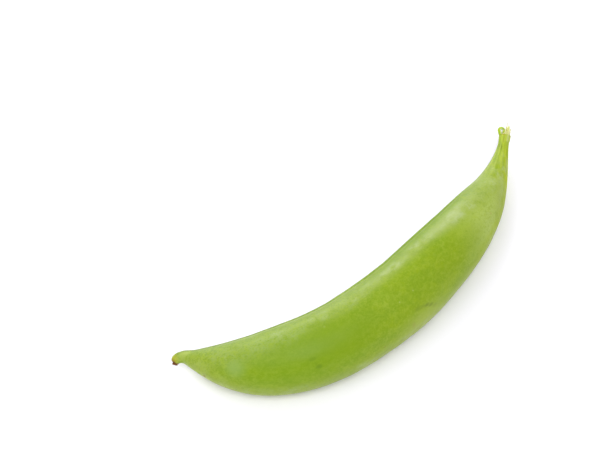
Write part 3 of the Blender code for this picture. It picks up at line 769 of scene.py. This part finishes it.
# ------------------------------------------------------------------ strands
def tube(points, radii, sides=8, squash=1.0, lumps=0.0, seed=0):
    """Vertices and faces of a closed tube along points."""
    points = np.asarray(points, float)
    radii = np.asarray(radii, float)
    tangent = np.gradient(points, axis=0)
    tangent /= np.linalg.norm(tangent, axis=1)[:, None] + 1e-12
    side = np.cross(tangent[0], [0.31, 0.17, 0.93])
    side /= np.linalg.norm(side)
    verts = []
    ang = 2 * np.pi * np.arange(sides) / sides
    rng = np.random.default_rng(seed)
    for k, (p, d, r) in enumerate(zip(points, tangent, radii)):
        side = side - d * np.dot(side, d)
        side /= np.linalg.norm(side)
        other = np.cross(d, side)
        rr = r * (1.0 + lumps * rng.uniform(-1, 1, sides))
        verts.append(p + side * (np.cos(ang) * rr)[:, None] + other * (np.sin(ang) * rr * squash)[:, None])
    verts = np.concatenate(verts + [points[:1], points[-1:]], 0)
    n = len(points)
    faces = []
    for i in range(n - 1):
        for j in range(sides):
            a, b = i * sides + j, i * sides + (j + 1) % sides
            faces.append((a, b, b + sides, a + sides))
    for j in range(sides):
        faces.append((j, n * sides, (j + 1) % sides))
        a = (n - 1) * sides
        faces.append((a + j, a + (j + 1) % sides, n * sides + 1))
    return verts, faces


def join_parts(parts):
    verts, faces, total = [], [], 0
    for v, f in parts:
        verts.append(v)
        faces += [tuple(i + total for i in face) for face in f]
        total += len(v)
    return np.concatenate(verts, 0), faces


def outward(obj):
    bm = bmesh.new()
    bm.from_mesh(obj.data)
    bmesh.ops.recalc_face_normals(bm, faces=bm.faces[:])
    bm.to_mesh(obj.data)
    bm.free()
    obj.data.shade_smooth()
    return obj


def end_frame(u):
    centre, along, out, top = (v[0] for v in frames(np.array([float(u)])))
    return centre, along, out, top


def build_fibres():
    """Pale torn fibres that stand out of the neck's end: a frayed bundle, with a few thin hairs above it."""
    centre, along, out, top = end_frame(1.0)
    rng = np.random.default_rng(12)
    strands = []  # across, up, length, lean across, lean up, radius at the foot (mm), how much of it is left at the tip
    for k in range(30):
        x = -0.12 + 1.06 * (k + rng.uniform(0.1, 0.9)) / 30
        reach = math.sqrt(max(0.0, 0.72 - (x * 0.86) ** 2))
        y = reach * rng.uniform(-0.75, 0.75)
        tall = 1.15 + 1.15 * math.exp(-(((x - 0.46) / 0.40) ** 2)) + rng.uniform(-0.45, 0.25)
        strands.append((x, y, tall, 0.16 * (x - 0.36) + rng.uniform(-0.07, 0.07), 0.12 * y, rng.uniform(0.070, 0.110), 0.34))
    strands += [
        (0.20, 0.05, 3.10, 0.01, 0.02, 0.110, 0.45),
        (0.60, 0.12, 2.45, 0.07, 0.04, 0.085, 0.32),
        (0.84, 0.05, 2.30, 0.12, 0.02, 0.085, 0.35),
        (-0.05, 0.10, 1.75, -0.04, 0.05, 0.070, 0.35),
    ]
    parts = []
    for k, (x, y, length, lx, ly, r, left) in enumerate(strands):
        t = np.linspace(0, 1, 12)
        bend = 0.07 * np.sin(2.4 * t + k) * t
        path = (
            centre
            + out * ((x + (lx * length) * t**1.4 + bend) * MM)[:, None]
            + top * ((y + (ly * length) * t**1.3 - 0.6 * bend) * MM)[:, None]
            + along * ((-0.35 + (length + 0.35) * t) * MM)[:, None]
        )
        radius = r * (1.0 - (1.0 - left) * t**1.5) * (1.0 + 0.12 * np.sin(7.0 * t + k)) * MM
        radius[-1] *= 0.6
        parts.append(tube(path, radius, 7, 0.75, 0.12, seed=20 + k))
    verts, faces = join_parts(parts)
    obj = outward(make_mesh("torn_fibres", verts + SHIFT, faces))
    tones = [np.full(len(v), 1.0 if k >= 30 else 0.0) for k, (v, f) in enumerate(parts)]
    set_point_attribute(obj.data, "tone", "FLOAT", np.concatenate(tones))
    return obj


def build_curl():
    """The curl of calyx on the rim of the neck."""
    centre, along, out, top = end_frame(1.0)
    side = top * 0.90 - along * 0.30 + out * 0.10
    side /= np.linalg.norm(side)
    ahead = along - side * np.dot(along, side)
    ahead /= np.linalg.norm(ahead)
    bend = np.cross(side, ahead)
    if np.dot(bend, out) < 0:
        bend = -bend
    steps, wide = 34, 9
    length, straight, roll = 2.62, 0.27, 270.0
    pos = centre - out * 0.80 * MM + top * 0.36 * MM + along * 0.04 * MM
    upper, lower = [], []
    for k in range(steps + 1):
        t = k / steps
        rolled = max(0.0, t - straight) / (1 - straight)
        turn = math.radians(roll * rolled - 22.0)
        forward = ahead * math.cos(turn) + bend * math.sin(turn)
        normal = bend * math.cos(turn) - ahead * math.sin(turn)
        half = 0.5 * (1.00 - 0.45 * t + 0.10 * math.sin(5 * t)) * MM
        thick = 0.5 * (0.64 + 0.20 * math.sin(math.pi * min(1.0, 1.25 * t)) - 0.20 * t) * MM
        row_u, row_l = [], []
        for j in range(wide):
            b = 2.0 * j / (wide - 1) - 1.0
            cup = 0.10 * b * b * MM
            edge = 1.0 - 0.75 * abs(b) ** 3
            ripple = 0.03 * math.sin(7 * b + 9 * t) * MM
            mid = pos + side * half * b + normal * (cup + ripple)
            row_u.append(mid + normal * thick * edge)
            row_l.append(mid - normal * thick * edge)
        upper.append(row_u)
        lower.append(row_l)
        pos = pos + forward * (length / steps) * MM
    up, lo = np.array(upper).reshape(-1, 3), np.array(lower).reshape(-1, 3)
    n = len(up)
    verts = np.concatenate([up, lo], 0)
    faces = []
    for i in range(steps):
        for j in range(wide - 1):
            a, b = i * wide + j, i * wide + j + 1
            faces.append((a, b, b + wide, a + wide))
            faces.append((n + b, n + a, n + a + wide, n + b + wide))
        faces.append((i * wide, (i + 1) * wide, n + (i + 1) * wide, n + i * wide))
        e = wide - 1
        faces.append((i * wide + e, n + i * wide + e, n + (i + 1) * wide + e, (i + 1) * wide + e))
    for j in range(wide - 1):
        faces.append((j, n + j, n + j + 1, j + 1))
        a = steps * wide
        faces.append((a + j, a + j + 1, n + a + j + 1, n + a + j))
    obj = outward(make_mesh("calyx_curl", verts + SHIFT, faces))
    set_point_attribute(obj.data, "tone", "FLOAT", np.repeat([1.0, 0.0], n))
    smoother = obj.modifiers.new("rounding", "SUBSURF")
    smoother.levels = smoother.render_levels = 1
    return obj


def build_style():
    """The dried style, shrivelled and bent back under the beak."""
    centre, along, out, top = end_frame(0.0)
    t = np.linspace(0, 1, 26)
    turn = np.radians(20.0 + 80.0 * t)
    path = centre + out * (0.46 * MM) + along * (0.05 * MM)
    path = path + np.cumsum(out[None] * np.cos(turn)[:, None] + along[None] * np.sin(turn)[:, None], 0) * (0.70 / 26) * MM
    path = path + top * (0.05 * np.sin(9 * t) * MM)[:, None]
    radius = (0.38 - 0.14 * t + 0.045 * np.sin(9 * t + 0.5) + 0.022 * np.sin(23 * t)) * MM
    parts = [tube(path, radius, 12, 0.85, 0.12, seed=4)]
    for k, (at, lx, ly, far) in enumerate(((25, 0.9, 0.3, 0.22), (18, 0.5, -0.4, 0.42), (12, 0.1, 0.3, 0.34))):
        q = np.linspace(0, 1, 8)
        wisp = path[at] + (out * (far * q)[:, None] + along * (lx * 0.4 * q)[:, None] + top * (ly * 0.4 * q)[:, None]) * MM
        parts.append(tube(wisp, 0.09 * (1 - 0.7 * q) * MM, 6, 1.0, 0.1, seed=40 + k))
    verts, faces = join_parts(parts)
    return outward(make_mesh("dried_style", verts + SHIFT, faces))


# ------------------------------------------------------------------ the pieces
pod = build_pod()
pod.data.materials.append(pod_material())
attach(pod, "root")
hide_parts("pod")

curl = build_curl()
curl.data.materials.append(
    simple_material("calyx_material", srgb(144, 174, 8), srgb(178, 199, 32), 1.6, 0.5, (1, 1, 1), 0.15, tone=srgb(206, 214, 176))
)
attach(curl, "root")
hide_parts("calyx_remnant")

fibres = build_fibres()
fibres.data.materials.append(
    simple_material("fibre_material", srgb(218, 222, 106), srgb(242, 240, 180), 2.4, 0.6, (1, 1, 1), 0.2, tone=srgb(168, 164, 108))
)
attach(fibres, "root")
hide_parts("stem_fibres")

style = build_style()
style.data.materials.append(
    simple_material("style_material", srgb(62, 32, 8), srgb(132, 76, 30), 3.0, 0.72, (1, 1, 1), 0.05)
)
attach(style, "root")
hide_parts("style_remnant")

# ------------------------------------------------------------------ floor, light and camera
FLOOR_SIZE = 3.0
FLOOR_GLOW = 0.068  # the table is lit from below too, like a light table
FLOOR_DROP = 0.00002
floor_mesh = bpy.data.meshes.new("floor")
h = FLOOR_SIZE / 2
floor_mesh.from_pydata([(x, y, -FLOOR_DROP) for x, y in ((-h, -h), (h, -h), (h, h), (-h, h))], [], [(0, 1, 2, 3)])
floor = bpy.data.objects.new("floor", floor_mesh)
bpy.context.scene.collection.objects.link(floor)
floor_nodes = Nodes("floor_material")
floor_nodes.bsdf.inputs["Base Color"].default_value = (0.925, 0.905, 0.985, 1.0)
floor_nodes.bsdf.inputs["Roughness"].default_value = 0.75
floor_nodes.bsdf.inputs["Specular IOR Level"].default_value = 0.2
floor_nodes.bsdf.inputs["Emission Color"].default_value = (1.0, 1.0, 1.0, 1.0)
floor_nodes.bsdf.inputs["Emission Strength"].default_value = FLOOR_GLOW
floor.data.materials.append(floor_nodes.mat)

VIEW_AZIMUTH, VIEW_ELEVATION = -40.27, 50.0
VIEW_DISTANCE = 0.400
VIEW_TARGET = Vector((-0.00241, 0.02252, 0.0))
FOCAL_PIXELS = 2109.7  # in a frame 600 pixels wide

world = bpy.data.worlds.new("studio")
world.use_nodes = True
world.node_tree.nodes["Background"].inputs["Color"].default_value = (1.0, 1.0, 1.0, 1.0)
world.node_tree.nodes["Background"].inputs["Strength"].default_value = 0.425
bpy.context.scene.world = world


def area_light(name, azimuth, elevation, distance, size, power, colour=(1, 1, 1)):
    """A soft square light. Azimuth 0 is where a camera that looks along +Y stands; it turns like the view's azimuth."""
    data = bpy.data.lights.new(name, "AREA")
    data.shape = "SQUARE"
    data.size = size
    data.energy = power
    data.color = colour
    obj = bpy.data.objects.new(name, data)
    a, e = math.radians(azimuth), math.radians(elevation)
    back = Vector((math.sin(a) * math.cos(e), -math.cos(a) * math.cos(e), math.sin(e)))
    obj.location = back * distance
    obj.rotation_mode = "QUATERNION"
    obj.rotation_quaternion = back.to_track_quat("Z", "Y")
    bpy.context.scene.collection.objects.link(obj)
    return obj


# A wide pale panel behind, soft lights from the left and above, and one over the camera's side.
area_light("backdrop", VIEW_AZIMUTH + 180 + 20, 20, 1.0, 0.90, 6.15)
area_light("key", VIEW_AZIMUTH + 180 + 45, 42, 0.9, 0.55, 0.76)
area_light("left", VIEW_AZIMUTH + 180 + 125, 42, 1.0, 0.50, 2.36)
area_light("overhead", VIEW_AZIMUTH + 180, 88, 1.0, 0.90, 1.32)
area_light("front", VIEW_AZIMUTH + 180 + 200, 60, 0.9, 0.55, 4.14)

camera_data = bpy.data.cameras.new("camera")
camera_data.sensor_fit = "HORIZONTAL"
camera_data.sensor_width = 36.0
camera_data.lens = FOCAL_PIXELS / 600.0 * 36.0
camera_data.clip_start, camera_data.clip_end = 0.01, 20.0
camera = bpy.data.objects.new("camera", camera_data)
bpy.context.scene.collection.objects.link(camera)
a, e = math.radians(VIEW_AZIMUTH), math.radians(VIEW_ELEVATION)
back = Vector((math.sin(a) * math.cos(e), -math.cos(a) * math.cos(e), math.sin(e)))
camera.location = VIEW_TARGET + back * VIEW_DISTANCE
camera.rotation_mode = "QUATERNION"
camera.rotation_quaternion = back.to_track_quat("Z", "Y")
bpy.context.scene.camera = camera

bpy.context.scene.view_settings.view_transform = "Standard"
bpy.context.scene.view_settings.look = "None"
